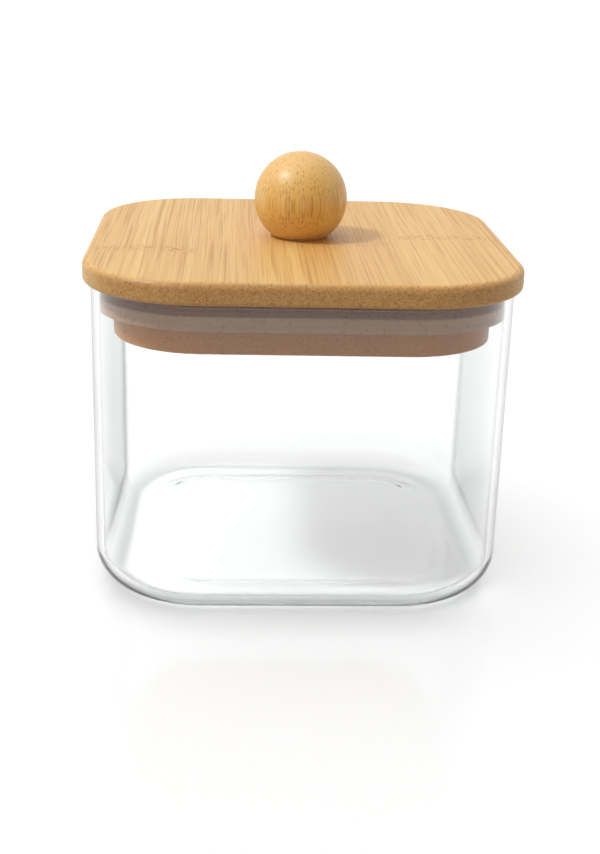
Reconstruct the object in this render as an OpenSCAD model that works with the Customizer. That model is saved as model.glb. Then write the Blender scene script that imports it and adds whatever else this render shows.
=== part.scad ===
// Square glass storage jar with a lift-off bamboo lid, a silicone seal and a ball knob.
// Millimetres, +Z up. The origin is the middle of the base, on the surface that the jar stands on.
// Each square piece has round corners, and its section is drawn outward from its corner centre.

/* [Glass jar] */
// Width over the flat sides
jar_w = 108.5; // [90:0.5:140]
// Height from the base to the top of the rim
jar_h = 82.5; // [60:0.5:140]
// Radius of the upright corners, which the lid board shares
jar_corner_r = 28.8; // [24:0.1:36]
// Thickness of the side walls
wall = 2; // [1.6:0.1:3]
// Thickness of the floor
floor_t = 2.4; // [2:0.1:4]
// Outer radius of the heel, where the sides turn into the base
heel_r = 9.3; // [5:0.1:12]
// Width of the flat foot that the jar stands on
foot_w = 3.5; // [2:0.1:6]
// Rise of the floor inside the foot
punt_h = 0.7; // [0.3:0.1:1.5]
// Width of the slope between the foot and the raised floor
punt_slope_w = 1.2; // [0.6:0.1:3]
// Width of the flat land on top of the fire-polished rim
rim_land = 0.4; // [0.2:0.1:1]

/* [Lid board] */
// How far the board stands out past the glass
board_overhang = 1.75; // [0.8:0.05:5]
// Thickness of the board
board_t = 5.8; // [4:0.1:12]
// Radius of the upper edge
board_top_r = 1.9; // [0.5:0.1:2.5]
// Radius of the lower edge
board_bottom_r = 1; // [0.4:0.1:1.5]

/* [Lid plug] */
// Gap between the plug and the inside of the glass, which the seal fills
plug_gap = 3.75; // [3:0.05:5]
// Depth of the plug under the board
plug_depth = 13.8; // [11:0.1:25]
// Radius of the plug's lower edge
plug_edge_r = 0.8; // [0.3:0.1:2]
// Distance from the board down to the groove
groove_drop = 2.5; // [1.5:0.1:3.5]
// Height of the groove that holds the seal
groove_h = 5.3; // [4.6:0.1:7]
// Depth of the groove into the plug
groove_d = 1.5; // [1:0.1:3]

/* [Seal ring] */
// Gap between the seal and the glass
seal_clearance = 0.2; // [0.1:0.05:0.4]
// Gap between the seal and the bottom of its groove
seal_seat_gap = 0.1; // [0.05:0.05:0.3]
// Slope of the seal's upper and lower faces, in degrees
lip_slope = 12; // [5:1:18]
// Radius of the two lips that wipe the glass
lip_r = 0.5; // [0.3:0.05:0.8]
// Depth of the hollow between the lips
hollow_d = 0.6; // [0.2:0.1:1]

/* [Knob] */
// Diameter of the ball
knob_d = 25; // [18:0.5:36]
// Diameter of the flat that the ball stands on
knob_flat_d = 14.2; // [8:0.1:16]

/* [Screw] */
// Diameter of the shank
screw_d = 3.5; // [3:0.1:4.5]
// Diameter of the countersunk head
screw_head_d = 7; // [6:0.1:9]
// How far the head lies below the plug's underside
head_sink = 0.3; // [0.1:0.1:1]
// Length of the screw inside the ball
screw_bite = 10.7; // [6:0.1:12]
// Length of the screw's point
screw_point = 3; // [1:0.1:5]
// Width of each arm of the cross recess
recess_w = 1.1; // [0.6:0.1:1.4]
// Span of the cross recess
recess_span = 3.8; // [2.5:0.1:4.5]
// Depth of the cross recess
recess_depth = 1.6; // [1:0.1:2.2]
// Radial gap of the screw in the board, the plug and the countersink
screw_hole_gap = 0.25; // [0.1:0.05:0.5]
// Radial gap of the thread in the ball's pilot hole
pilot_gap = 0.05; // [0.02:0.01:0.1]

/* [Hidden] */
$fn = 128;
// Spare length by which a cut runs past the face that it opens
cut_over = 1;

// Half the distance between the corner centres of the jar, the plug and the seal
jar_core = jar_w / 2 - jar_corner_r;
// Distances from a corner centre to the faces around it
glass_in_r = jar_corner_r - wall;
heel_in_r = heel_r - wall;
heel_centre = jar_corner_r - heel_r;
foot_in = heel_centre - foot_w;
punt_edge = foot_in - punt_slope_w;
rim_r = (wall - rim_land) / 2;
rim_shoulder = jar_h - rim_r;

board_low = jar_h;
board_high = board_low + board_t;
board_core = jar_core + board_overhang;

plug_r = glass_in_r - plug_gap;
plug_low = board_low - plug_depth;
groove_high = board_low - groove_drop;
groove_low = groove_high - groove_h;
groove_r = plug_r - groove_d;

seal_in_r = groove_r + seal_seat_gap;
seal_out_r = glass_in_r - seal_clearance;
lip_centre = seal_out_r - lip_r;
// The faces of the seal slope from the mouth of the groove to the lips, which they meet tangentially
lip_fall = (lip_centre - plug_r) * tan(lip_slope) + lip_r / cos(lip_slope);
upper_lip_z = groove_high - lip_fall;
lower_lip_z = groove_low + lip_fall;
hollow_half = (upper_lip_z - lower_lip_z) / 2;
hollow_r = (hollow_half * hollow_half + hollow_d * hollow_d) / (2 * hollow_d);

knob_r = knob_d / 2;
knob_centre_z = board_high + sqrt(pow(knob_r, 2) - pow(knob_flat_d / 2, 2));

head_low = plug_low + head_sink;
head_h = (screw_head_d - screw_d) / 2;
screw_top = board_high + screw_bite;
screw_hole_r = screw_d / 2 + screw_hole_gap;

// A slice of a disc between two angles up to 90 degrees apart, which rounds one corner of a section
module corner_slice(centre, r, from, to) {
    reach = 2 * r;
    middle = (from + to) / 2;
    translate(centre)
        intersection() {
            circle(r);
            polygon([
                [0, 0],
                reach * [cos(from), sin(from)],
                reach * [cos(middle), sin(middle)],
                reach * [cos(to), sin(to)]
            ]);
        }
}

// A section carried round a square with round corners: four quarter turns and the four sides between
module carry_round(core) {
    for (quarter = [0:3])
        rotate([0, 0, 90 * quarter])
            translate([core, core, 0]) {
                rotate_extrude(angle = 90)
                    children();
                rotate([90, 0, 0])
                    linear_extrude(2 * core)
                        children();
            }
}

// The square block between the corner centres, which closes a piece whose section starts there
module core_block(core, low, high) {
    translate([-core, -core, low])
        cube([2 * core, 2 * core, high - low]);
}

// Floor with its raised middle and the flat foot around it
module floor_section() {
    polygon([
        [0, punt_h],
        [punt_edge, punt_h],
        [foot_in, 0],
        [heel_centre, 0],
        [heel_centre, floor_t],
        [foot_in, floor_t],
        [punt_edge, punt_h + floor_t],
        [0, punt_h + floor_t]
    ]);
}

// Side wall with the curved heel below it, up to the start of the rim's rounding
module wall_section() {
    difference() {
        union() {
            corner_slice([heel_centre, heel_r], heel_r, 270, 360);
            translate([heel_centre, heel_r])
                square([heel_r, rim_shoulder - heel_r]);
        }
        union() {
            corner_slice([heel_centre, floor_t + heel_in_r], heel_in_r, 270, 360);
            translate([heel_centre, floor_t + heel_in_r])
                square([heel_in_r, jar_h - floor_t - heel_in_r]);
        }
    }
}

// Fire-polished rim: two round edges with a narrow flat land between
module rim_section() {
    corner_slice([glass_in_r + rim_r, rim_shoulder], rim_r, 90, 180);
    translate([glass_in_r + rim_r, rim_shoulder])
        square([rim_land, rim_r]);
    corner_slice([jar_corner_r - rim_r, rim_shoulder], rim_r, 0, 90);
}

// Thin-walled glass jar
module glass_jar() {
    color([0.82, 0.92, 0.88, 0.35])
        union() {
            carry_round(jar_core) {
                union() {
                    floor_section();
                    wall_section();
                    rim_section();
                }
            }
            core_block(jar_core, punt_h, punt_h + floor_t);
        }
}

// Flat block edge with a rounded upper and lower corner
module board_section() {
    side = jar_corner_r;
    square_h = board_t - board_top_r - board_bottom_r;
    translate([0, board_low])
        square([side - board_bottom_r, board_bottom_r]);
    corner_slice([side - board_bottom_r, board_low + board_bottom_r], board_bottom_r, 270, 360);
    translate([0, board_low + board_bottom_r])
        square([side, square_h]);
    translate([0, board_high - board_top_r])
        square([side - board_top_r, board_top_r]);
    corner_slice([side - board_top_r, board_high - board_top_r], board_top_r, 0, 90);
}

// Through hole for the knob's screw
module screw_hole(low, high) {
    translate([0, 0, low - cut_over])
        cylinder(r = screw_hole_r, h = high - low + 2 * cut_over);
}

// Bamboo board that rests on the rim
module lid_board() {
    color([0.93, 0.77, 0.52])
        difference() {
            union() {
                carry_round(board_core)
                    board_section();
                core_block(board_core, board_low, board_high);
            }
            screw_hole(board_low, board_high);
        }
}

// Plug edge with the seal's groove and a rounded lower corner
module plug_section() {
    translate([0, groove_high])
        square([plug_r, board_low - groove_high]);
    translate([0, groove_low])
        square([groove_r, groove_h]);
    translate([0, plug_low + plug_edge_r])
        square([plug_r, groove_low - plug_low - plug_edge_r]);
    translate([0, plug_low])
        square([plug_r - plug_edge_r, plug_edge_r]);
    corner_slice([plug_r - plug_edge_r, plug_low + plug_edge_r], plug_edge_r, 270, 360);
}

// Countersink for the screw's head, open downward
module countersink() {
    seat_r = screw_head_d / 2 + screw_hole_gap;
    translate([0, 0, plug_low - cut_over])
        cylinder(r = seat_r, h = head_sink + cut_over);
    translate([0, 0, head_low])
        cylinder(r1 = seat_r, r2 = screw_hole_r, h = head_h);
}

// Bamboo plug glued under the board
module lid_plug() {
    color([0.80, 0.60, 0.38])
        difference() {
            union() {
                carry_round(jar_core)
                    plug_section();
                core_block(jar_core, plug_low, board_low);
            }
            screw_hole(plug_low, board_low);
            countersink();
        }
}

// One lip, rounded where it meets the glass; turn is 1 for the upper lip and -1 for the lower
module lip_slice(z, turn) {
    from = turn > 0 ? 0 : 270 + lip_slope;
    corner_slice([lip_centre, z], lip_r, from, from + 90 - lip_slope);
}

// Strip that sits in the groove, with two soft lips and a hollow between them
module seal_section() {
    lean = lip_r * [sin(lip_slope), cos(lip_slope)];
    difference() {
        union() {
            polygon([
                [seal_in_r, groove_low],
                [plug_r, groove_low],
                [lip_centre + lean[0], lower_lip_z - lean[1]],
                [lip_centre, lower_lip_z],
                [lip_centre, upper_lip_z],
                [lip_centre + lean[0], upper_lip_z + lean[1]],
                [plug_r, groove_high],
                [seal_in_r, groove_high]
            ]);
            lip_slice(upper_lip_z, 1);
            lip_slice(lower_lip_z, -1);
            translate([lip_centre, lower_lip_z])
                square([lip_r, 2 * hollow_half]);
        }
        translate([seal_out_r - hollow_d + hollow_r, groove_low + groove_h / 2])
            circle(hollow_r);
    }
}

// Silicone seal stretched into the groove of the plug
module seal_ring() {
    color([0.80, 0.78, 0.75, 0.8])
        carry_round(jar_core)
            seal_section();
}

// Turned bamboo ball with a flat to stand on and a pilot hole
module ball_knob() {
    color([0.86, 0.66, 0.36])
        difference() {
            translate([0, 0, knob_centre_z])
                sphere(knob_r);
            translate([-knob_r, -knob_r, board_high - knob_d])
                cube([2 * knob_r, 2 * knob_r, knob_d]);
            translate([0, 0, board_high - cut_over])
                cylinder(r = screw_d / 2 + pilot_gap, h = screw_bite + 2 * cut_over);
        }
}

// Countersunk wood screw that holds the ball, driven from under the plug
module knob_screw() {
    color([0.75, 0.75, 0.72])
        difference() {
            union() {
                translate([0, 0, head_low])
                    cylinder(d1 = screw_head_d, d2 = screw_d, h = head_h);
                translate([0, 0, head_low + head_h])
                    cylinder(d = screw_d, h = screw_top - screw_point - head_low - head_h);
                translate([0, 0, screw_top - screw_point])
                    cylinder(d1 = screw_d, d2 = 0, h = screw_point);
            }
            for (turn = [0, 90])
                rotate([0, 0, turn])
                    translate([-recess_span / 2, -recess_w / 2, head_low - cut_over])
                        cube([recess_span, recess_w, recess_depth + cut_over]);
        }
}

glass_jar();
lid_board();
lid_plug();
seal_ring();
ball_knob();
knob_screw();
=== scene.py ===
"""Dresses the spice jar: a square glass jar with a bamboo lid, a silicone seal and a ball knob."""
import logging
import math
from collections.abc import Sequence
from dataclasses import dataclass, field
from enum import Enum

import bpy
from mathutils import Matrix, Vector


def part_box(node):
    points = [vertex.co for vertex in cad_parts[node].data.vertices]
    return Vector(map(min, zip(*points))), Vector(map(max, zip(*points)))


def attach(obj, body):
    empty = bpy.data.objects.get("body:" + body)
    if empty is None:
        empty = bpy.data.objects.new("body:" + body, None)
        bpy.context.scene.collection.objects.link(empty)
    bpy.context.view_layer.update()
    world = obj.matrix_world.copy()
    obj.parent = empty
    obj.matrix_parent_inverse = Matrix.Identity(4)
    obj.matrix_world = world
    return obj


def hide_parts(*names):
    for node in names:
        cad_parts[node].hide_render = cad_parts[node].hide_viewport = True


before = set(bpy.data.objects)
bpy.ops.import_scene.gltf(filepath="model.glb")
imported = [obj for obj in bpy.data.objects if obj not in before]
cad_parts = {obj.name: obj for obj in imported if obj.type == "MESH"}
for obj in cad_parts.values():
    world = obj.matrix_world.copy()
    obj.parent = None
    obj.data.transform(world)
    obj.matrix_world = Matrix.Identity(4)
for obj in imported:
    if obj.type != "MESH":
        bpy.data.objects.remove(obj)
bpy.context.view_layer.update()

MM = 0.001
# A corner that turns by less than this, in radians, is straight.
STRAIGHT = 1e-6
LOG = logging.getLogger("spice_jar")
Socket = bpy.types.NodeSocket
Tree = bpy.types.NodeTree
Colour = tuple[float, float, float, float]
Direction = tuple[float, float, float]


def linear(hex_colour: str) -> Colour:
    """Turns an sRGB hex colour to the linear colour that shaders take.

    Args:
        hex_colour: Six hex digits after a hash sign.

    Returns:
        Red, green, blue and an alpha of one.
    """
    parts = [int(hex_colour[i:i + 2], 16) / 255 for i in (1, 3, 5)]
    # The numbers are those of the sRGB standard.
    red, green, blue = (p / 12.92 if p <= 0.04045 else ((p + 0.055) / 1.055) ** 2.4 for p in parts)
    return red, green, blue, 1.0


def add_node(tree: Tree, kind: str, inputs: dict[str | int, object] | None = None,
             **settings: object) -> bpy.types.Node:
    """Adds a shader node with its settings, constants and links.

    Args:
        tree: The node tree that takes the node.
        kind: The node's class name without its ShaderNode prefix.
        inputs: For each input, by name or number, a constant or the output socket that feeds it.
        settings: Attributes of the node itself, such as operation.

    Returns:
        The new node.
    """
    node = tree.nodes.new(f"ShaderNode{kind}")
    for name, value in settings.items():
        setattr(node, name, value)
    for key, value in (inputs or {}).items():
        if isinstance(value, bpy.types.NodeSocket):
            tree.links.new(value, node.inputs[key])
        else:
            node.inputs[key].default_value = value
    return node


def new_material(name: str) -> tuple[bpy.types.Material, Tree, bpy.types.Node]:
    """Makes a material with an empty tree and its output node.

    Args:
        name: The material's name.

    Returns:
        The material, its node tree and its output node.
    """
    material = bpy.data.materials.new(name)
    material.use_nodes = True
    tree = material.node_tree
    tree.nodes.clear()
    return material, tree, add_node(tree, "OutputMaterial")


class Follow(Enum):
    """What a section point follows as it is carried round a piece."""

    SQUARE = "square with round corners"
    ROUND = "circle about the middle"


@dataclass(frozen=True)
class Corner:
    """A corner of a section before rounding, in mm: distance out, height, rounding and path."""

    out: float
    up: float
    radius: float = 0.0
    follow: Follow = Follow.SQUARE


@dataclass(frozen=True)
class SectionPoint:
    """A point of a section with its outward normal."""

    out: float
    up: float
    normal_out: float
    normal_up: float
    follow: Follow = Follow.SQUARE


@dataclass(frozen=True)
class Section:
    """A cut through a piece, drawn outward from a corner centre, with the solid on its left."""

    points: tuple[SectionPoint, ...]
    closed: bool

    @staticmethod
    def arc(centre: tuple[float, float], radius: float, start: float, stop: float,
            steps: int, hollow: bool = False, follow: Follow = Follow.SQUARE) -> list[SectionPoint]:
        """Gives the points of an arc.

        Args:
            centre: The arc's centre, out and up.
            radius: The arc's radius.
            start: The angle of the first point, in degrees from the outward direction.
            stop: The angle of the last point.
            steps: The number of stretches.
            hollow: True if the solid lies outside the arc.
            follow: What the points follow.

        Returns:
            The points from start to stop.
        """
        side = -1.0 if hollow else 1.0
        points = []
        for i in range(steps + 1):
            angle = math.radians(start + (stop - start) * i / steps)
            away = (math.cos(angle), math.sin(angle))
            points.append(SectionPoint(centre[0] + radius * away[0], centre[1] + radius * away[1],
                                       side * away[0], side * away[1], follow))
        return points

    @classmethod
    def rounded(cls, corners: Sequence[Corner], closed: bool, step: float = 6.0) -> "Section":
        """Rounds the corners of an outline with true arcs.

        Args:
            corners: The corners in order, with the solid on the left of the way along them.
            closed: True if the last corner leads back to the first.
            step: The widest angle between neighbouring points of an arc, in degrees.

        Returns:
            The rounded section.
        """
        points: list[SectionPoint] = []
        count = len(corners)
        for i, corner in enumerate(corners):
            here = Vector((corner.out, corner.up))
            before = corners[i - 1]
            after = corners[(i + 1) % count]
            come = (here - Vector((before.out, before.up))).normalized()
            leave = (Vector((after.out, after.up)) - here).normalized()
            if not closed and i == 0:
                come = leave
            if not closed and i == count - 1:
                leave = come
            turn = math.atan2(come.x * leave.y - come.y * leave.x, come.dot(leave))
            if abs(turn) < STRAIGHT:
                points.append(SectionPoint(here.x, here.y, come.y, -come.x, corner.follow))
                continue
            side = math.copysign(1.0, turn)
            back = corner.radius * math.tan(abs(turn) / 2)
            start = here - come * back
            centre = start + Vector((-come.y, come.x)) * side * corner.radius
            first = math.degrees(math.atan2(-come.x * side, come.y * side))
            steps = max(2, math.ceil(abs(math.degrees(turn)) / step))
            points += cls.arc((centre.x, centre.y), corner.radius, first,
                              first + math.degrees(turn), steps, side < 0, corner.follow)
        return cls(tuple(points), closed)


@dataclass(frozen=True)
class SquareForm:
    """Carries a section round a square with round corners, or round the axis where core is 0."""

    core: float
    corner_steps: int = 24
    side_steps: int = 1

    def stations(self) -> list[tuple[Vector, Vector]]:
        """Lists the places that the section passes on its way round.

        Returns:
            The corner centre and the outward direction of each station, in turn.
        """
        found = []
        for quarter in range(4):
            centre = Vector(((1, -1, -1, 1)[quarter], (1, 1, -1, -1)[quarter])) * self.core
            shares = [i / self.corner_steps for i in range(self.corner_steps + 1)]
            angles = [math.pi / 2 * (quarter + share) for share in shares]
            if self.core == 0:
                angles.pop()
            found += [(centre, Vector((math.cos(a), math.sin(a)))) for a in angles]
            ahead = Vector((-math.sin(angles[-1]), math.cos(angles[-1])))
            for i in range(1, self.side_steps if self.core else 1):
                found.append((centre + ahead * (2 * self.core * i / self.side_steps), found[-1][1]))
        return found

    def mesh(self, name: str, section: Section) -> bpy.types.Mesh:
        """Builds the closed mesh with exact smooth normals.

        Args:
            name: The mesh's name.
            section: The section to carry round. An open one is closed by a flat face at each end.

        Returns:
            The mesh, in metres.
        """
        widest = max(p.out for p in section.points)
        stations = self.stations()
        size = len(section.points)
        places, normals = [], []
        for centre, away in stations:
            spoke = (centre + away * widest).normalized()
            for p in section.points:
                way = away if p.follow is Follow.SQUARE else spoke
                start = centre if p.follow is Follow.SQUARE else Vector((0, 0))
                flat = start + way * p.out
                places.append((flat.x * MM, flat.y * MM, p.up * MM))
                normals.append((way.x * p.normal_out, way.y * p.normal_out, p.normal_up))
        faces = []
        for j in range(len(stations)):
            k = (j + 1) % len(stations)
            for i in range(size if section.closed else size - 1):
                n = (i + 1) % size
                faces.append((j * size + i, k * size + i, k * size + n, j * size + n))
        if not section.closed:
            faces.append(tuple(j * size for j in reversed(range(len(stations)))))
            faces.append(tuple(j * size + size - 1 for j in range(len(stations))))
        mesh = bpy.data.meshes.new(name)
        mesh.from_pydata(places, [], faces)
        mesh.polygons.foreach_set("use_smooth", [True] * len(mesh.polygons))
        mesh.normals_split_custom_set_from_vertices(normals)
        mesh.validate()
        return mesh


def place(name: str, mesh: bpy.types.Mesh, material: bpy.types.Material, body: str,
          node: str) -> None:
    """Puts a finished piece in the scene in place of its CAD node.

    Args:
        name: The piece's name.
        mesh: Its mesh, in the shared frame.
        material: Its finish.
        body: The CAD body that it rides on.
        node: The CAD node that it stands for.
    """
    piece = bpy.data.objects.new(name, mesh)
    bpy.context.scene.collection.objects.link(piece)
    mesh.materials.append(material)
    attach(piece, body)
    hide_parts(node)
    LOG.info("%s: %d faces, on %s, for %s", name, len(mesh.polygons), body, node)


@dataclass(frozen=True)
class Fade:
    """How a share comes in: the value where it starts, the value where it is full, and its most."""

    start: float
    full: float
    most: float = 1.0

    def inputs(self, value: Socket) -> dict[str | int, object]:
        """Gives the inputs of the range node that turns a value to the share."""
        return {"Value": value, "From Min": self.start, "From Max": self.full, "To Max": self.most}


@dataclass(frozen=True)
class Figure:
    """A pattern in wood: the size of its grains in mm, across and along the fibres, and its detail."""

    across_mm: float
    along_mm: float
    detail: float
    roughness: float = 0.6

    def draw(self, tree: Tree, space: Socket) -> Socket:
        """Draws the pattern at its real size.

        Args:
            tree: The material's tree.
            space: Coordinates in mm with the third axis along the fibres.

        Returns:
            Noise from 0 to 1.
        """
        scale = (1 / self.across_mm, 1 / self.across_mm, 1 / self.along_mm)
        grains = add_node(tree, "VectorMath", {0: space, 1: scale}, operation="MULTIPLY").outputs[0]
        return add_node(tree, "TexNoise", {"Vector": grains, "Scale": 1.0, "Detail": self.detail,
                                           "Roughness": self.roughness}).outputs["Fac"]


class Grain(Enum):
    """The way that the fibres of a bamboo piece run."""

    FRONT_TO_BACK = "along Y"
    UPRIGHT = "along Z"


@dataclass(frozen=True)
class Knuckle:
    """A node of the culm on one strip, in mm: the strip's middle, place along the grain, half width."""

    strip_middle: float
    along: float
    half_width: float


@dataclass(frozen=True)
class Bamboo:
    """Flat-pressed moso bamboo, sanded and oiled.

    Strips of the culm lie side by side, each with its own tone, and the fibre bundles show as fine dark
    streaks along the grain and as dots across it. Cut ends drink more oil, so they are darker and browner.
    """

    name: str
    grain: Grain
    pale: str = "#E9C47C"
    warm: str = "#D6A45C"
    streak: str = "#AD7434"
    end: str = "#B57E40"
    end_dot: str = "#6E4218"
    # The strips: their width, and how strongly each takes a tone of its own
    strip_mm: float = 27.0
    strip_shift_mm: float = 0.8
    strip_tone: float = 0.56
    drift: Figure = Figure(9.0, 150.0, 2.0)
    # The slow bends of the grain: how far it strays, and over what distances
    wander_mm: float = 1.2
    wander_size_mm: tuple[float, float, float] = (30.0, 30.0, 70.0)
    # Broad threads and fine fibres along the grain
    threads: Figure = Figure(2.0, 150.0, 2.0)
    thread_fade: Fade = Fade(0.42, 0.66, 0.6)
    fibres: Figure = Figure(0.5, 110.0, 3.0)
    fibre_fade: Fade = Fade(0.46, 0.74, 0.7)
    end_fibre_fade: Fade = Fade(0.40, 0.62, 0.3)
    # Real bundles are about 0.4 mm across. They are drawn coarser, so that they show.
    bundle_mm: float = 0.75
    bundle_long_mm: float = 55.0
    bundle_edge: Fade = Fade(0.42, 0.18)
    bundle_patches: Figure = Figure(7.0, 60.0, 1.0)
    bundle_fade: Fade = Fade(0.12, 0.45)
    bundle_share: float = 0.5
    end_dot_share: float = 0.6
    # How squarely a surface has to cut the fibres to look like a cut end
    end_fade: Fade = Fade(0.25, 0.85)
    # The knuckles, where the culm had its nodes: ragged arched bands that end at the strip's edges
    knuckles: tuple[Knuckle, ...] = ()
    knuckle_edge: Figure = Figure(3.0, 3.0, 3.0)
    knuckle_ragged_mm: float = 7.0
    knuckle_shift_mm: float = 4.5
    knuckle_arch_mm: float = 2.2
    knuckle_inset_mm: float = 0.8
    knuckle_outset_mm: float = 0.4
    knuckle_fade: Fade = Fade(5.0, 0.5)
    knuckle_share: float = 0.25
    specks: Figure = Figure(0.8, 1.6, 2.0)
    speck_fade: Fade = Fade(0.5, 0.62, 0.7)
    # The oiled surface
    ior: float = 1.5
    roughness: float = 0.44
    smoother: float = 0.05
    rougher: float = 0.08
    bump_mm: float = 0.03
    bump_strength: float = 0.5
    coat: float = 0.0
    coat_roughness: float = 0.3

    def material(self) -> bpy.types.Material:
        """Builds the shader.

        Returns:
            The material.
        """
        material, tree, output = new_material(self.name)
        across, along, space = self._fibre_space(tree)
        fibres = self.fibres.draw(tree, space)
        bundles = self._bundles(tree, space)
        side = self._side_colour(tree, across, space, fibres, bundles)
        side = self._knuckle_bands(tree, across, along, space, side)
        ends = self._end_colour(tree, fibres, bundles)
        colour = self._stained(tree, side, [(self._end_share(tree), ends)])
        # Sanding leaves the hard fibres a hair proud of the soft wood, which breaks up the shine.
        height = add_node(tree, "Math", {0: fibres, 1: bundles}, operation="SUBTRACT").outputs[0]
        bump = add_node(tree, "Bump", {"Strength": self.bump_strength, "Distance": self.bump_mm * MM,
                                       "Height": height}).outputs[0]
        rough = add_node(tree, "MapRange", {"Value": fibres, "To Min": self.roughness - self.smoother,
                                            "To Max": self.roughness + self.rougher}).outputs[0]
        shader = add_node(tree, "BsdfPrincipled", {
            "Base Color": colour, "Roughness": rough, "IOR": self.ior, "Normal": bump,
            "Coat Weight": self.coat, "Coat Roughness": self.coat_roughness})
        tree.links.new(shader.outputs[0], output.inputs[0])
        return material

    def _fibre_space(self, tree: Tree) -> tuple[Socket, Socket, Socket]:
        """Gives coordinates in mm with the third axis along the grain, slightly wandering.

        Args:
            tree: The material's tree.

        Returns:
            The place across the strips, the place along the grain, and the wandering coordinates.
        """
        place_m = add_node(tree, "TexCoord").outputs["Object"]
        place_mm = add_node(tree, "VectorMath", {0: place_m, "Scale": 1 / MM}, operation="SCALE").outputs[0]
        axes = add_node(tree, "SeparateXYZ", {0: place_mm}).outputs
        order = (0, 2, 1) if self.grain is Grain.FRONT_TO_BACK else (0, 1, 2)
        turned = add_node(tree, "CombineXYZ", {i: axes[k] for i, k in enumerate(order)}).outputs[0]
        scale = tuple(1 / size for size in self.wander_size_mm)
        bends = add_node(tree, "VectorMath", {0: turned, 1: scale}, operation="MULTIPLY").outputs[0]
        drawn = add_node(tree, "TexNoise", {"Vector": bends, "Scale": 1.0, "Detail": 1.0}).outputs["Color"]
        mean = (0.5, 0.5, 0.5)
        centred = add_node(tree, "VectorMath", {0: drawn, 1: mean}, operation="SUBTRACT").outputs[0]
        reach = (self.wander_mm, self.wander_mm, 0.0)
        moved = add_node(tree, "VectorMath", {0: centred, 1: reach, 2: turned},
                         operation="MULTIPLY_ADD").outputs[0]
        return axes[order[0]], axes[order[2]], moved

    def _bundles(self, tree: Tree, space: Socket) -> Socket:
        """Draws the fibre bundles: streaks on a face along the grain, dots on a cut end.

        Args:
            tree: The material's tree.
            space: The wandering coordinates.

        Returns:
            A share that is high on a bundle.
        """
        scale = (1 / self.bundle_mm, 1 / self.bundle_mm, 1 / self.bundle_long_mm)
        stretched = add_node(tree, "VectorMath", {0: space, 1: scale}, operation="MULTIPLY").outputs[0]
        cells = add_node(tree, "TexVoronoi", {"Vector": stretched, "Scale": 1.0}).outputs
        inside = add_node(tree, "MapRange", self.bundle_edge.inputs(cells["Distance"]),
                          interpolation_type="SMOOTHSTEP").outputs[0]
        chance = add_node(tree, "SeparateColor", {0: cells["Color"]}).outputs[0]
        patches = self.bundle_patches.draw(tree, space)
        both = add_node(tree, "Math", {0: chance, 1: patches}, operation="MULTIPLY").outputs[0]
        shown = add_node(tree, "MapRange", self.bundle_fade.inputs(both),
                         interpolation_type="SMOOTHSTEP").outputs[0]
        return add_node(tree, "Math", {0: inside, 1: shown}, operation="MULTIPLY").outputs[0]

    def _side_colour(self, tree: Tree, across: Socket, space: Socket, fibres: Socket,
                     bundles: Socket) -> Socket:
        """Colours a face along the grain, from the strip's tone to the finest fibre.

        Args:
            tree: The material's tree.
            across: The place across the strips, in mm.
            space: The wandering coordinates.
            fibres: The pattern of the fibres.
            bundles: The share of the fibre bundles.

        Returns:
            The colour.
        """
        shift = self.strip_shift_mm / self.strip_mm
        strip = add_node(tree, "Math", {0: across, 1: 1 / self.strip_mm, 2: shift},
                         operation="MULTIPLY_ADD").outputs[0]
        number = add_node(tree, "Math", {0: strip}, operation="FLOOR").outputs[0]
        chance = add_node(tree, "TexWhiteNoise", {"W": number}, noise_dimensions="1D").outputs["Value"]
        drift = self.drift.draw(tree, space)
        tone = add_node(tree, "Math", {0: chance, 1: self.strip_tone, 2: drift},
                        operation="MULTIPLY_ADD", use_clamp=True).outputs[0]
        threads = add_node(tree, "MapRange", self.thread_fade.inputs(self.threads.draw(tree, space)),
                           interpolation_type="SMOOTHSTEP").outputs[0]
        fine = add_node(tree, "MapRange", self.fibre_fade.inputs(fibres),
                        interpolation_type="SMOOTHSTEP").outputs[0]
        streaks = add_node(tree, "Math", {0: bundles, 1: self.bundle_share}, operation="MULTIPLY").outputs[0]
        warm, streak = linear(self.warm), linear(self.streak)
        stains = [(tone, warm), (threads, warm), (fine, streak), (streaks, streak)]
        return self._stained(tree, linear(self.pale), stains)

    def _end_colour(self, tree: Tree, fibres: Socket, bundles: Socket) -> Socket:
        """Colours a cut end: brown wood, paler between the fibres, with the bundles as dark dots.

        Args:
            tree: The material's tree.
            fibres: The pattern of the fibres.
            bundles: The share of the fibre bundles.

        Returns:
            The colour.
        """
        fine = add_node(tree, "MapRange", self.end_fibre_fade.inputs(fibres),
                        interpolation_type="SMOOTHSTEP").outputs[0]
        dots = add_node(tree, "Math", {0: bundles, 1: self.end_dot_share}, operation="MULTIPLY").outputs[0]
        stains = [(fine, linear(self.pale)), (dots, linear(self.end_dot))]
        return self._stained(tree, linear(self.end), stains)

    def _end_share(self, tree: Tree) -> Socket:
        """Tells how squarely the surface cuts the fibres.

        Args:
            tree: The material's tree.

        Returns:
            A share that is 0 along the grain and 1 on a cut end.
        """
        normal = add_node(tree, "TexCoord").outputs["Normal"]
        axis = 1 if self.grain is Grain.FRONT_TO_BACK else 2
        along = add_node(tree, "SeparateXYZ", {0: normal}).outputs[axis]
        size = add_node(tree, "Math", {0: along}, operation="ABSOLUTE").outputs[0]
        return add_node(tree, "MapRange", self.end_fade.inputs(size),
                        interpolation_type="SMOOTHSTEP").outputs[0]

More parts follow.
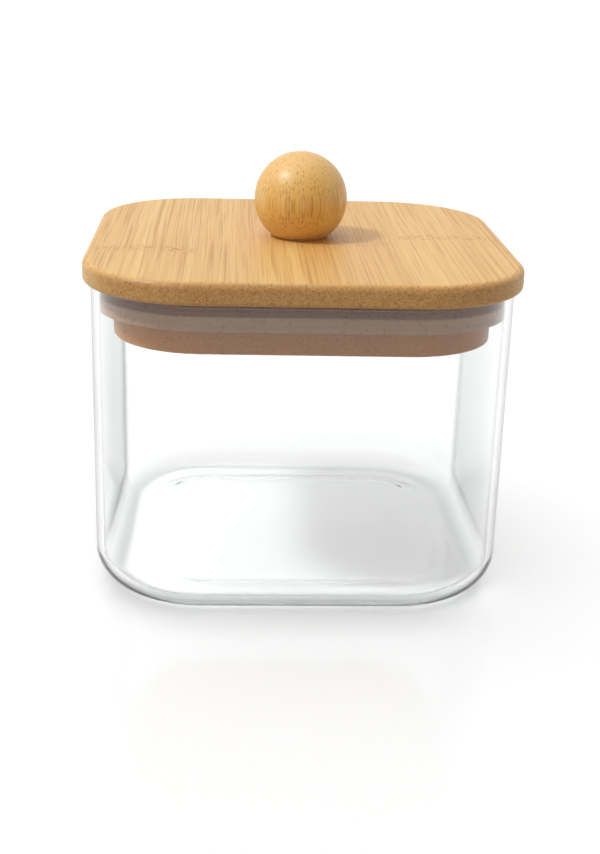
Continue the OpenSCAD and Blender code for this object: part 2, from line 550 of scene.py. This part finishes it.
    def _knuckle_bands(self, tree: Tree, across: Socket, along: Socket, space: Socket,
                       colour: Socket) -> Socket:
        """Draws the culm's nodes as short arched bands with speckles.

        Args:
            tree: The material's tree.
            across: The place across the strips, in mm.
            along: The place along the grain, in mm.
            space: The wandering coordinates.
            colour: The colour so far.

        Returns:
            The colour with the bands.
        """
        ragged = self.knuckle_edge.draw(tree, space)
        speckle = add_node(tree, "MapRange", self.speck_fade.inputs(self.specks.draw(tree, space)),
                           interpolation_type="SMOOTHSTEP").outputs[0]
        for knuckle in self.knuckles:
            band = self._knuckle_band(tree, knuckle, across, along, ragged)
            specks = add_node(tree, "Math", {0: speckle, 1: band}, operation="MULTIPLY").outputs[0]
            tint = add_node(tree, "Math", {0: band, 1: self.knuckle_share}, operation="MULTIPLY").outputs[0]
            colour = self._stained(tree, colour, [(tint, linear(self.warm)), (specks, linear(self.streak))])
        return colour

    def _knuckle_band(self, tree: Tree, knuckle: Knuckle, across: Socket, along: Socket,
                      ragged: Socket) -> Socket:
        """Draws the place of one knuckle: an arch over its strip, with a ragged outline.

        Args:
            tree: The material's tree.
            knuckle: The knuckle.
            across: The place across the strips, in mm.
            along: The place along the grain, in mm.
            ragged: The pattern that roughens the outline.

        Returns:
            A share that is 1 in the middle of the band.
        """
        off = add_node(tree, "Math", {0: across, 1: knuckle.strip_middle}, operation="SUBTRACT").outputs[0]
        square = add_node(tree, "Math", {0: off, 1: off}, operation="MULTIPLY").outputs[0]
        curve = self.knuckle_arch_mm / knuckle.half_width ** 2
        arch = add_node(tree, "Math", {0: square, 1: curve, 2: along},
                        operation="MULTIPLY_ADD").outputs[0]
        outline = add_node(tree, "Math", {0: ragged, 1: self.knuckle_ragged_mm, 2: arch},
                           operation="MULTIPLY_ADD").outputs[0]
        away = add_node(tree, "Math", {0: outline, 1: knuckle.along + self.knuckle_shift_mm},
                        operation="SUBTRACT").outputs[0]
        far = add_node(tree, "Math", {0: away}, operation="ABSOLUTE").outputs[0]
        near = add_node(tree, "MapRange", self.knuckle_fade.inputs(far),
                        interpolation_type="SMOOTHSTEP").outputs[0]
        side = add_node(tree, "Math", {0: off}, operation="ABSOLUTE").outputs[0]
        strip_edge = Fade(knuckle.half_width + self.knuckle_outset_mm,
                          knuckle.half_width - self.knuckle_inset_mm)
        inside = add_node(tree, "MapRange", strip_edge.inputs(side),
                          interpolation_type="SMOOTHSTEP").outputs[0]
        return add_node(tree, "Math", {0: near, 1: inside}, operation="MULTIPLY").outputs[0]

    @staticmethod
    def _stained(tree: Tree, colour: Socket | Colour,
                 stains: Sequence[tuple[Socket, Socket | Colour]]) -> Socket:
        """Lays stains over a colour, each as strongly as its share says.

        Args:
            tree: The material's tree.
            colour: The colour underneath.
            stains: The share and the colour of each stain, in order.

        Returns:
            The stained colour.
        """
        for share, stain in stains:
            colour = add_node(tree, "Mix", {0: share, 6: colour, 7: stain}, data_type="RGBA").outputs[2]
        return colour


@dataclass(frozen=True)
class ClearGlass:
    """Borosilicate glass, blown in a mould and fire polished.

    It is clear and faintly grey-green. Its dark edges and dark heel are painted shade: the colour darkens
    where sight grazes a wall, in place of the dark surroundings that the glass bends into view. The mould
    leaves slow waves that bend what is seen through it.
    """

    name: str = "borosilicate glass"
    face_tint: str = "#FDFEFE"
    # Painted shade: near black where sight grazes a wall
    painted_edge_shade: str = "#0E1413"
    # Painted shade: dark grey in the heel, in place of the dark lines that refraction draws there
    painted_heel_shade: str = "#363E3C"
    shadow_tint: str = "#F4F6F5"
    graze: Fade = Fade(0.6, 1.0)
    # The heel is where the outer face turns from upright to flat, read from its normal's height.
    heel_start: Fade = Fade(-0.35, -0.8)
    heel_stop: Fade = Fade(-0.995, -0.9)
    # Painted shade: the share of the heel's grey on the floor's underside, where the lid's shadow shows
    # through
    floor_shade_share: float = 0.18
    ior: float = 1.47
    wave_mm: float = 24.0
    wave_detail: float = 1.0
    wave_height_mm: float = 0.05

    def material(self) -> bpy.types.Material:
        """Builds the shader.

        Returns:
            The material.
        """
        material, tree, output = new_material(self.name)
        place_m = add_node(tree, "TexCoord").outputs["Object"]
        waves = add_node(tree, "TexNoise", {"Vector": place_m, "Scale": 1 / (self.wave_mm * MM),
                                            "Detail": self.wave_detail}).outputs["Fac"]
        bump = add_node(tree, "Bump", {"Strength": 1.0, "Distance": self.wave_height_mm * MM,
                                       "Height": waves}).outputs[0]
        glass = add_node(tree, "BsdfPrincipled", {
            "Base Color": self._painted_shade(tree), "Roughness": 0.0, "IOR": self.ior,
            "Transmission Weight": 1.0, "Normal": bump})
        # Lamps shine through the glass, so that the plug and the floor aren't left in its shadow.
        clear = add_node(tree, "BsdfTransparent", {0: linear(self.shadow_tint)})
        shadow = add_node(tree, "LightPath").outputs["Is Shadow Ray"]
        both = add_node(tree, "MixShader", {0: shadow, 1: glass.outputs[0], 2: clear.outputs[0]})
        tree.links.new(both.outputs[0], output.inputs[0])
        return material

    def _painted_shade(self, tree: Tree) -> Socket:
        """Paints shade on the glass: near black at grazing sight, dark grey in the heel, and a little on the
        floor's underside.

        Args:
            tree: The material's tree.

        Returns:
            The tint.
        """
        facing = add_node(tree, "LayerWeight").outputs["Facing"]
        grazing = add_node(tree, "MapRange", self.graze.inputs(facing),
                           interpolation_type="SMOOTHSTEP").outputs[0]
        normal = add_node(tree, "TexCoord").outputs["Normal"]
        height = add_node(tree, "SeparateXYZ", {0: normal}).outputs[2]
        turned = add_node(tree, "MapRange", self.heel_start.inputs(height)).outputs[0]
        upright = add_node(tree, "MapRange",
                           self.heel_stop.inputs(height) | {"To Min": self.floor_shade_share}).outputs[0]
        heel = add_node(tree, "Math", {0: turned, 1: upright}, operation="MULTIPLY").outputs[0]
        # Painted shade in the heel, and a little on the floor's underside
        heel_shaded = add_node(tree, "Mix", {0: heel, 6: linear(self.face_tint), 7: linear(self.painted_heel_shade)},
                         data_type="RGBA").outputs[2]
        # Painted shade where sight grazes the glass
        return add_node(tree, "Mix", {0: grazing, 6: heel_shaded, 7: linear(self.painted_edge_shade)},
                        data_type="RGBA").outputs[2]


@dataclass(frozen=True)
class Silicone:
    """Moulded silicone rubber, hardly translucent here: soft, slightly cloudy, with a dull shine."""

    name: str = "silicone"
    # Painted: the rubber is greyish, and most of this tan and its paler clouds is the brown plug showing
    # through it
    colour: str = "#CF9A6E"
    pale: str = "#DBB28C"
    cloud_mm: float = 14.0
    grit_mm: float = 1.2
    grit_detail: float = 2.0
    ior: float = 1.41
    roughness: float = 0.28
    smoother: float = 0.06
    rougher: float = 0.08
    clearness: float = 0.06

    def material(self) -> bpy.types.Material:
        """Builds the shader.

        Returns:
            The material.
        """
        material, tree, output = new_material(self.name)
        place_m = add_node(tree, "TexCoord").outputs["Object"]
        grit = add_node(tree, "TexNoise", {"Vector": place_m, "Scale": 1 / (self.grit_mm * MM),
                                           "Detail": self.grit_detail}).outputs["Fac"]
        rough = add_node(tree, "MapRange", {"Value": grit, "To Min": self.roughness - self.smoother,
                                            "To Max": self.roughness + self.rougher}).outputs[0]
        cloud = add_node(tree, "TexNoise", {"Vector": place_m,
                                            "Scale": 1 / (self.cloud_mm * MM)}).outputs["Fac"]
        # The tan with paler clouds, mostly the plug's brown painted in where it would show through the
        # rubber
        colour = add_node(tree, "Mix", {0: cloud, 6: linear(self.colour), 7: linear(self.pale)},
                          data_type="RGBA").outputs[2]
        shader = add_node(tree, "BsdfPrincipled", {
            "Base Color": colour, "Roughness": rough, "IOR": self.ior,
            "Transmission Weight": self.clearness})
        tree.links.new(shader.outputs[0], output.inputs[0])
        return material


@dataclass(frozen=True)
class ZincPlate:
    """Bright zinc plating on a steel screw: bluish grey metal with a slightly patchy shine."""

    name: str = "zinc plated steel"
    colour: str = "#C3C8CE"
    patch_mm: float = 0.9
    patch_detail: float = 3.0
    roughness: float = 0.32
    smoother: float = 0.1
    rougher: float = 0.15

    def material(self) -> bpy.types.Material:
        """Builds the shader.

        Returns:
            The material.
        """
        material, tree, output = new_material(self.name)
        place_m = add_node(tree, "TexCoord").outputs["Object"]
        patch = add_node(tree, "TexNoise", {"Vector": place_m, "Scale": 1 / (self.patch_mm * MM),
                                            "Detail": self.patch_detail}).outputs["Fac"]
        rough = add_node(tree, "MapRange", {"Value": patch, "To Min": self.roughness - self.smoother,
                                            "To Max": self.roughness + self.rougher}).outputs[0]
        shader = add_node(tree, "BsdfPrincipled", {"Base Color": linear(self.colour), "Metallic": 1.0,
                                                   "Roughness": rough})
        tree.links.new(shader.outputs[0], output.inputs[0])
        return material


@dataclass
class GlassJar:
    """The square glass jar: thin walls, a fire-polished rim, a curved heel and a raised floor.

    Sizes are in mm. The width and the height come from the CAD node.
    """

    corner_r: float = 28.8
    wall: float = 2.0
    rim_land: float = 0.4
    # Left off the rim's two arcs, so that the land between them keeps a width
    rim_spare: float = 0.01
    floor: float = 2.4
    heel_r: float = 9.3
    foot: float = 3.5
    # The floor rises inside the foot over a soft slope, and the section starts level, inside the slope
    rise: float = 0.7
    slope: float = 5.0
    soft_r: float = 9.0
    level: float = 4.0
    arc_step_deg: float = 5.0
    height: float = field(init=False)
    core: float = field(init=False)

    def __post_init__(self) -> None:
        """Reads the outer size from the CAD node."""
        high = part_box("glass_jar")[1]
        self.height = high.z / MM
        self.core = high.x / MM - self.corner_r

    def section(self) -> Section:
        """Draws the wall from the middle of the underside, up the outside and down the inside.

        Returns:
            The section, open where the flat middle of the floor closes it.
        """
        side = self.corner_r
        bore = side - self.wall
        rim_r = (self.wall - self.rim_land) / 2 - self.rim_spare
        foot_in = side - self.heel_r - self.foot
        edge = foot_in - self.slope
        start = edge - self.level
        return Section.rounded([
            Corner(start, self.rise),
            Corner(edge, self.rise, self.soft_r),
            Corner(foot_in, 0.0, self.soft_r),
            Corner(side, 0.0, self.heel_r),
            Corner(side, self.height, rim_r),
            Corner(bore, self.height, rim_r),
            Corner(bore, self.floor, self.heel_r - self.wall),
            Corner(foot_in, self.floor, self.soft_r),
            Corner(edge, self.rise + self.floor, self.soft_r),
            Corner(start, self.rise + self.floor),
        ], closed=False, step=self.arc_step_deg)

    def build(self) -> None:
        """Makes the jar in clear glass."""
        mesh = SquareForm(self.core).mesh("jar glass", self.section())
        place("jar_glass", mesh, ClearGlass().material(), "jar", "glass_jar")


@dataclass
class BambooLid:
    """The lid: a board, a plug under it with a silicone seal, and a ball knob on a screw.

    Sizes are in mm. Corners and wall are those of the jar that it fits, and widths and heights come
    from the CAD nodes.
    """

    jar: GlassJar
    board_knuckles: tuple[Knuckle, ...] = (
        Knuckle(-41.0, -20.0, 13.0),
        Knuckle(12.5, -10.0, 13.0),
        Knuckle(40.0, 0.5, 13.5),
    )
    board_top_r: float = 1.9
    board_low_r: float = 1.0
    plug_gap: float = 3.75
    plug_edge_r: float = 0.8
    groove_depth: float = 1.5
    groove_drop: float = 2.5
    groove_height: float = 5.3
    groove_edge_r: float = 0.2
    sharp_r: float = 0.1
    seal_back_gap: float = 0.1
    seal_side_gap: float = 0.02
    seal_back_r: float = 0.2
    seal_neck_r: float = 0.4
    seal_side_steps: int = 12
    lip_slope_deg: float = 12.0
    lip_r: float = 0.5
    lip_height: float = 1.3
    lip_inner_r: float = 0.3
    hollow_depth: float = 0.25
    hollow_r: float = 1.2
    screw_r: float = 1.75
    screw_gap: float = 0.25
    screw_bite: float = 10.7
    head_r: float = 3.5
    head_sink: float = 0.3
    knob_r: float = 12.5
    knob_flat_r: float = 7.1
    knob_steps: int = 44
    knob_stop_deg: float = 89.0
    pilot_gap: float = 0.05
    pilot_spare: float = 1.0
    pilot_middle_r: float = 0.3
    arc_step_deg: float = 10.0
    board_half: float = field(init=False)
    board_low: float = field(init=False)
    board_high: float = field(init=False)
    plug_low: float = field(init=False)
    plug_r: float = field(init=False)
    core: float = field(init=False)
    groove_low: float = field(init=False)
    groove_high: float = field(init=False)
    hole_r: float = field(init=False)

    def __post_init__(self) -> None:
        """Reads heights and widths from the CAD nodes, and works out what the pieces share."""
        board_low, board_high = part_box("lid_board")
        plug_low, plug_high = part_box("lid_plug")
        self.board_half = board_high.x / MM
        self.board_low = board_low.z / MM
        self.board_high = board_high.z / MM
        self.plug_low = plug_low.z / MM
        self.plug_r = self.jar.corner_r - self.jar.wall - self.plug_gap
        self.core = plug_high.x / MM - self.plug_r
        self.groove_high = self.board_low - self.groove_drop
        self.groove_low = self.groove_high - self.groove_height
        self.hole_r = self.screw_r + self.screw_gap

    def build(self) -> None:
        """Makes every piece of the lid."""
        self.build_board()
        self.build_plug()
        self.build_seal()
        self.build_knob()
        self.dress_screw()

    def build_board(self) -> None:
        """Makes the board, with its hole for the screw."""
        side = self.jar.corner_r
        section = Section.rounded([
            Corner(self.hole_r, self.board_low, self.sharp_r, Follow.ROUND),
            Corner(side, self.board_low, self.board_low_r),
            Corner(side, self.board_high, self.board_top_r),
            Corner(self.hole_r, self.board_high, self.sharp_r, Follow.ROUND),
        ], closed=True)
        finish = Bamboo("bamboo board", Grain.FRONT_TO_BACK, knuckles=self.board_knuckles)
        mesh = SquareForm(self.board_half - side).mesh("board", section)
        place("board", mesh, finish.material(), "lid", "lid_board")

    def build_plug(self) -> None:
        """Makes the plug, with the seal's groove and the countersunk screw hole."""
        groove_r = self.plug_r - self.groove_depth
        seat_r = self.head_r + self.screw_gap
        seat_low = self.plug_low + self.head_sink
        seat_high = seat_low + self.head_r - self.screw_r
        section = Section.rounded([
            Corner(seat_r, self.plug_low, self.sharp_r, Follow.ROUND),
            Corner(self.plug_r, self.plug_low, self.plug_edge_r),
            Corner(self.plug_r, self.groove_low, self.groove_edge_r),
            Corner(groove_r, self.groove_low, self.groove_edge_r),
            Corner(groove_r, self.groove_high, self.groove_edge_r),
            Corner(self.plug_r, self.groove_high, self.groove_edge_r),
            Corner(self.plug_r, self.board_low, self.sharp_r),
            Corner(self.hole_r, self.board_low, self.sharp_r, Follow.ROUND),
            Corner(self.hole_r, seat_high, self.sharp_r, Follow.ROUND),
            Corner(seat_r, seat_low, self.sharp_r, Follow.ROUND),
        ], closed=True, step=self.arc_step_deg)
        finish = Bamboo("bamboo plug", Grain.FRONT_TO_BACK, pale="#D9A45C", warm="#CC9045",
                        end="#CE7E2A", end_dot="#7E4A18")
        mesh = SquareForm(self.core).mesh("plug", section)
        place("plug", mesh, finish.material(), "lid", "lid_plug")

    def build_seal(self) -> None:
        """Makes the silicone seal with its two lips and the shallow hollow between them."""
        inner = self.plug_r - self.groove_depth + self.seal_back_gap
        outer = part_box("seal_ring")[1].x / MM - self.core
        fall = (outer - self.plug_r) * math.tan(math.radians(self.lip_slope_deg))
        low = self.groove_low + self.seal_side_gap
        high = self.groove_high - self.seal_side_gap
        low_lip = self.groove_low + fall
        high_lip = self.groove_high - fall
        middle = (self.groove_low + self.groove_high) / 2
        section = Section.rounded([
            Corner(inner, low, self.seal_back_r),
            Corner(self.plug_r, low, self.seal_neck_r),
            Corner(outer, low_lip, self.lip_r),
            Corner(outer, low_lip + self.lip_height, self.lip_inner_r),
            Corner(outer - self.hollow_depth, middle, self.hollow_r),
            Corner(outer, high_lip - self.lip_height, self.lip_inner_r),
            Corner(outer, high_lip, self.lip_r),
            Corner(self.plug_r, high, self.seal_neck_r),
            Corner(inner, high, self.seal_back_r),
        ], closed=True, step=self.arc_step_deg)
        mesh = SquareForm(self.core, side_steps=self.seal_side_steps).mesh("seal", section)
        place("seal", mesh, Silicone().material(), "lid", "seal_ring")

    def build_knob(self) -> None:
        """Makes the turned ball, with its flat and the blind hole for the screw."""
        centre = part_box("ball_knob")[1].z / MM - self.knob_r
        pilot_r = self.screw_r + self.pilot_gap
        pilot_top = self.board_high + self.screw_bite + self.pilot_spare
        flat_angle = math.degrees(math.asin((self.board_high - centre) / self.knob_r))
        lower = Section.rounded([
            Corner(self.pilot_middle_r, pilot_top, 0.0, Follow.ROUND),
            Corner(pilot_r, pilot_top, self.sharp_r, Follow.ROUND),
            Corner(pilot_r, self.board_high, self.sharp_r, Follow.ROUND),
            Corner(self.knob_flat_r, self.board_high, 0.0, Follow.ROUND),
        ], closed=False)
        ball = Section.arc((0.0, centre), self.knob_r, flat_angle, self.knob_stop_deg,
                           self.knob_steps, follow=Follow.ROUND)
        finish = Bamboo("bamboo ball", Grain.UPRIGHT, pale="#F7D692", warm="#EBB455", streak="#A8702A",
                        end="#E2AF60", end_dot="#93602A", strip_mm=9.0, strip_shift_mm=3.0, coat=0.3)
        section = Section(lower.points + tuple(ball), closed=False)
        mesh = SquareForm(0.0).mesh("ball", section)
        place("ball", mesh, finish.material(), "lid", "ball_knob")

    @staticmethod
    def dress_screw() -> None:
        """Gives the CAD screw its zinc finish."""
        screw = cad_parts["knob_screw"]
        screw.data.materials.clear()
        screw.data.materials.append(ZincPlate().material())
        LOG.info("knob_screw: the CAD node in zinc plate")


def room_share(tree: Tree, otherwise: float) -> Socket:
    """Gives 1 to a ray that shows the white room, directly, mirrored or through glass.

    Args:
        tree: The tree that takes the nodes.
        otherwise: The value for rays that only carry light to a surface.

    Returns:
        The value.
    """
    path = add_node(tree, "LightPath").outputs
    seen = add_node(tree, "Math", {0: path["Is Camera Ray"], 1: path["Is Glossy Ray"]},
                    operation="MAXIMUM").outputs[0]
    seen = add_node(tree, "Math", {0: seen, 1: path["Is Transmission Ray"]},
                    operation="MAXIMUM").outputs[0]
    # The depth counts whole bounces off dull surfaces, so a ray under a half has had none.
    no_bounce = 0.5
    direct = add_node(tree, "Math", {0: path["Diffuse Depth"], 1: no_bounce},
                      operation="LESS_THAN").outputs[0]
    seen = add_node(tree, "Math", {0: seen, 1: direct}, operation="MULTIPLY").outputs[0]
    return add_node(tree, "MapRange", {"Value": seen, "To Min": otherwise, "To Max": 1.0}).outputs[0]


@dataclass(frozen=True)
class WhiteAcrylic:
    """Polished white acrylic sheet: it mirrors the jar faintly and takes a soft shadow.

    The lift raises what the lamps give to full white where the floor is seen, under the shadow too,
    so that the shadow keeps its depth.
    """

    name: str = "white acrylic"
    colour: str = "#F0F0F0"
    roughness: float = 0.08
    shine: float = 0.4
    lift: float = 0.41

    def material(self) -> bpy.types.Material:
        """Builds the shader.

        Returns:
            The material.
        """
        material, tree, output = new_material(self.name)
        shader = add_node(tree, "BsdfPrincipled", {
            "Base Color": linear(self.colour), "Roughness": self.roughness,
            "Specular IOR Level": self.shine})
        glow = add_node(tree, "Math", {0: room_share(tree, 0.0), 1: self.lift},
                        operation="MULTIPLY").outputs[0]
        white = add_node(tree, "Emission", {"Strength": glow})
        both = add_node(tree, "AddShader", {0: shader.outputs[0], 1: white.outputs[0]})
        tree.links.new(both.outputs[0], output.inputs[0])
        return material


@dataclass(frozen=True)
class Studio:
    """A white room with soft light from the upper left, and the camera of the photograph."""

    camera_mm: tuple[float, float, float] = (-18.45, -365.97, 163.74)
    pan_deg: float = 3.139
    down_deg: float = 19.643
    roll_deg: float = 1.686
    focal_px: float = 1359.1
    long_side_px: int = 854
    sensor_mm: float = 36.0
    nearest_m: float = 0.01
    floor_m: float = 12.0
    floor_gap_mm: float = 0.2
    key_from: Direction = (-0.58, -0.16, 0.80)
    key_strength: float = 1.5
    key_spread_deg: float = 9.0
    top_from: Direction = (-0.25, 0.1, 0.95)
    top_strength: float = 0.9
    top_spread_deg: float = 70.0
    ambient: float = 0.45

    def build(self) -> None:
        """Makes the camera, the lamps, the world and the floor."""
        scene = bpy.context.scene
        scene.view_settings.view_transform = "Standard"
        self._camera(scene)
        key = self._lamp(scene, "key", self.key_from, self.key_strength, self.key_spread_deg)
        self._lamp(scene, "top", self.top_from, self.top_strength, self.top_spread_deg)
        self._world(scene)
        # The key lights the object alone, so that the lid throws no hard shadow on the floor.
        lit = bpy.data.collections.new("lit by the key")
        for piece in [o for o in scene.objects if o.type == "MESH"]:
            lit.objects.link(piece)
        key.light_linking.receiver_collection = lit
        self._floor(scene)
        LOG.info("studio: camera, two lamps, white room and floor")

    def _camera(self, scene: bpy.types.Scene) -> None:
        """Sets the camera up as it stood for the photograph.

        Args:
            scene: The scene that takes it.
        """
        pan, down, roll = (math.radians(a) for a in (self.pan_deg, self.down_deg, self.roll_deg))
        ahead = Vector((math.sin(pan) * math.cos(down), math.cos(pan) * math.cos(down), -math.sin(down)))
        level = Vector((math.cos(pan), -math.sin(pan), 0.0))
        upright = level.cross(ahead)
        right = level * math.cos(roll) + upright * math.sin(roll)
        above = upright * math.cos(roll) - level * math.sin(roll)
        turn = Matrix((right, above, -ahead)).transposed().to_4x4()
        data = bpy.data.cameras.new("camera")
        data.sensor_width = self.sensor_mm
        data.lens = self.focal_px / self.long_side_px * self.sensor_mm
        data.clip_start = self.nearest_m
        camera = bpy.data.objects.new("camera", data)
        camera.matrix_world = Matrix.Translation(Vector(self.camera_mm) * MM) @ turn
        scene.collection.objects.link(camera)
        scene.camera = camera

    @staticmethod
    def _lamp(scene: bpy.types.Scene, name: str, source: Direction, strength: float,
              spread_deg: float) -> bpy.types.Object:
        """Adds a far lamp.

        Args:
            scene: The scene that takes it.
            name: The lamp's name.
            source: The direction that its light comes from.
            strength: Its strength in W per square metre.
            spread_deg: Its apparent size, which softens its shadows.

        Returns:
            The lamp.
        """
        data = bpy.data.lights.new(name, "SUN")
        data.energy = strength
        data.angle = math.radians(spread_deg)
        lamp = bpy.data.objects.new(name, data)
        lamp.rotation_euler = Vector(source).to_track_quat("Z", "Y").to_euler()
        scene.collection.objects.link(lamp)
        return lamp

    def _world(self, scene: bpy.types.Scene) -> None:
        """Makes the white surroundings: full white to look at, softer as light.

        Args:
            scene: The scene that takes them.
        """
        world = bpy.data.worlds.new("white room")
        world.use_nodes = True
        tree = world.node_tree
        tree.nodes.clear()
        back = add_node(tree, "Background", {"Color": linear("#FFFFFF"),
                                             "Strength": room_share(tree, self.ambient)})
        add_node(tree, "OutputWorld", {0: back.outputs[0]})
        scene.world = world

    def _floor(self, scene: bpy.types.Scene) -> None:
        """Lays the white floor just under the jar.

        Args:
            scene: The scene that takes it.
        """
        half = self.floor_m / 2
        height = -self.floor_gap_mm * MM
        turns = ((-1, -1), (1, -1), (1, 1), (-1, 1))
        mesh = bpy.data.meshes.new("floor")
        mesh.from_pydata([(x * half, y * half, height) for x, y in turns], [], [(0, 1, 2, 3)])
        mesh.materials.append(WhiteAcrylic().material())
        floor = bpy.data.objects.new("floor", mesh)
        scene.collection.objects.link(floor)


def main() -> None:
    """Builds the jar, the lid and the studio, which report each piece."""
    logging.basicConfig(level=logging.INFO, format="%(name)s: %(message)s")
    jar = GlassJar()
    jar.build()
    BambooLid(jar).build()
    Studio().build()


if __name__ == "__main__":
    main()
